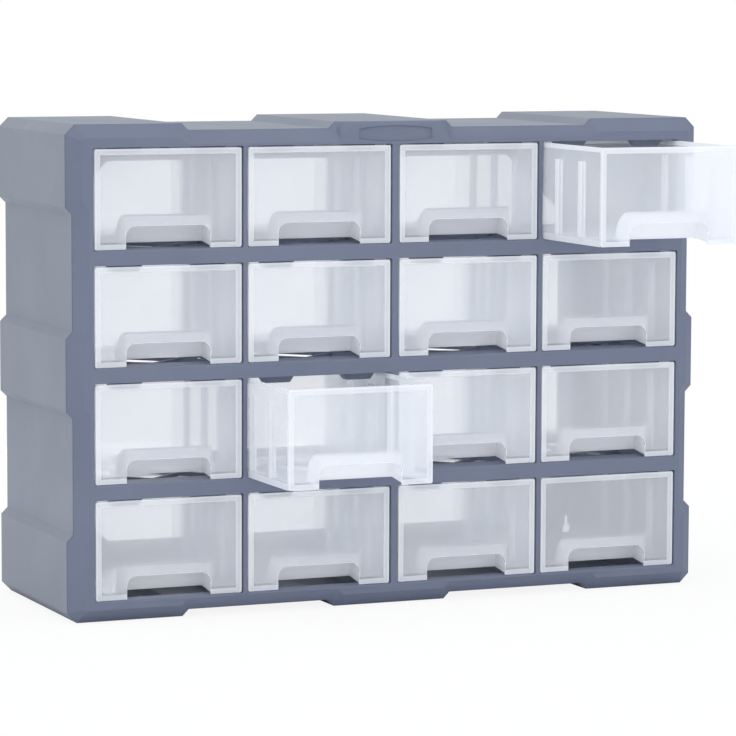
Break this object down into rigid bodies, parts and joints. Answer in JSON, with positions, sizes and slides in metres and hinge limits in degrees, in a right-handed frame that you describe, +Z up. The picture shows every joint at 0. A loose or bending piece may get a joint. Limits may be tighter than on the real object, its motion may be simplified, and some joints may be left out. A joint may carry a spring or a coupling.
{
  "type": "parts bin cabinet",
  "caption": "Wide desktop parts cabinet with a stepped moulded case, a bevelled front frame and a grid of translucent pull-out drawers with finger notches.",
  "frame": {"origin": "on the standing surface, under the middle of the case's width and depth (open drawers don't count)", "axes": "+X to the right seen from the front, -Y towards the front, +Z up"},
  "size_m": [0.52, 0.2702, 0.37],
  "materials": {
    "case_grey": "grey moulded plastic with a fine matt grain",
    "frame_grey": "blue-grey moulded plastic, fine satin grain",
    "shelf_grey": "blue-grey moulded plastic, matt",
    "drawer_clear": "frosted translucent polypropylene"
  },
  "bodies": {
    "case": {"shell": "case_grey", "frame_bottom": "frame_grey", "frame_top": "frame_grey", "frame_left": "frame_grey", "frame_right": "frame_grey", "rail_1": "frame_grey", "rail_2": "frame_grey", "rail_3": "frame_grey", "upright_1": "frame_grey", "upright_2": "frame_grey", "upright_3": "frame_grey", "back_panel": "case_grey", "shelf_1": "shelf_grey", "shelf_2": "shelf_grey", "shelf_3": "shelf_grey"},
    "drawer_r1_c1": {"drawer_r1_c1": "drawer_clear"},
    "drawer_r1_c2": {"drawer_r1_c2": "drawer_clear"},
    "drawer_r1_c3": {"drawer_r1_c3": "drawer_clear"},
    "drawer_r1_c4": {"drawer_r1_c4": "drawer_clear"},
    "drawer_r2_c1": {"drawer_r2_c1": "drawer_clear"},
    "drawer_r2_c2": {"drawer_r2_c2": "drawer_clear"},
    "drawer_r2_c3": {"drawer_r2_c3": "drawer_clear"},
    "drawer_r2_c4": {"drawer_r2_c4": "drawer_clear"},
    "drawer_r3_c1": {"drawer_r3_c1": "drawer_clear"},
    "drawer_r3_c2": {"drawer_r3_c2": "drawer_clear"},
    "drawer_r3_c3": {"drawer_r3_c3": "drawer_clear"},
    "drawer_r3_c4": {"drawer_r3_c4": "drawer_clear"},
    "drawer_r4_c1": {"drawer_r4_c1": "drawer_clear"},
    "drawer_r4_c2": {"drawer_r4_c2": "drawer_clear"},
    "drawer_r4_c3": {"drawer_r4_c3": "drawer_clear"},
    "drawer_r4_c4": {"drawer_r4_c4": "drawer_clear"}
  },
  "joints": [
    {"name": "slide_r1_c1", "type": "slide", "parent": "case", "child": "drawer_r1_c1", "axis": [0, -1, 0], "range_m": [0, 0.135]},
    {"name": "slide_r1_c2", "type": "slide", "parent": "case", "child": "drawer_r1_c2", "axis": [0, -1, 0], "range_m": [0, 0.135]},
    {"name": "slide_r1_c3", "type": "slide", "parent": "case", "child": "drawer_r1_c3", "axis": [0, -1, 0], "range_m": [0, 0.135]},
    {"name": "slide_r1_c4", "type": "slide", "parent": "case", "child": "drawer_r1_c4", "axis": [0, -1, 0], "range_m": [-0.099, 0.036]},
    {"name": "slide_r2_c1", "type": "slide", "parent": "case", "child": "drawer_r2_c1", "axis": [0, -1, 0], "range_m": [0, 0.135]},
    {"name": "slide_r2_c2", "type": "slide", "parent": "case", "child": "drawer_r2_c2", "axis": [0, -1, 0], "range_m": [0, 0.135]},
    {"name": "slide_r2_c3", "type": "slide", "parent": "case", "child": "drawer_r2_c3", "axis": [0, -1, 0], "range_m": [0, 0.135]},
    {"name": "slide_r2_c4", "type": "slide", "parent": "case", "child": "drawer_r2_c4", "axis": [0, -1, 0], "range_m": [0, 0.135]},
    {"name": "slide_r3_c1", "type": "slide", "parent": "case", "child": "drawer_r3_c1", "axis": [0, -1, 0], "range_m": [0, 0.135]},
    {"name": "slide_r3_c2", "type": "slide", "parent": "case", "child": "drawer_r3_c2", "axis": [0, -1, 0], "range_m": [-0.081, 0.054]},
    {"name": "slide_r3_c3", "type": "slide", "parent": "case", "child": "drawer_r3_c3", "axis": [0, -1, 0], "range_m": [0, 0.135]},
    {"name": "slide_r3_c4", "type": "slide", "parent": "case", "child": "drawer_r3_c4", "axis": [0, -1, 0], "range_m": [0, 0.135]},
    {"name": "slide_r4_c1", "type": "slide", "parent": "case", "child": "drawer_r4_c1", "axis": [0, -1, 0], "range_m": [0, 0.135]},
    {"name": "slide_r4_c2", "type": "slide", "parent": "case", "child": "drawer_r4_c2", "axis": [0, -1, 0], "range_m": [0, 0.135]},
    {"name": "slide_r4_c3", "type": "slide", "parent": "case", "child": "drawer_r4_c3", "axis": [0, -1, 0], "range_m": [0, 0.135]},
    {"name": "slide_r4_c4", "type": "slide", "parent": "case", "child": "drawer_r4_c4", "axis": [0, -1, 0], "range_m": [0, 0.135]}
  ]
}
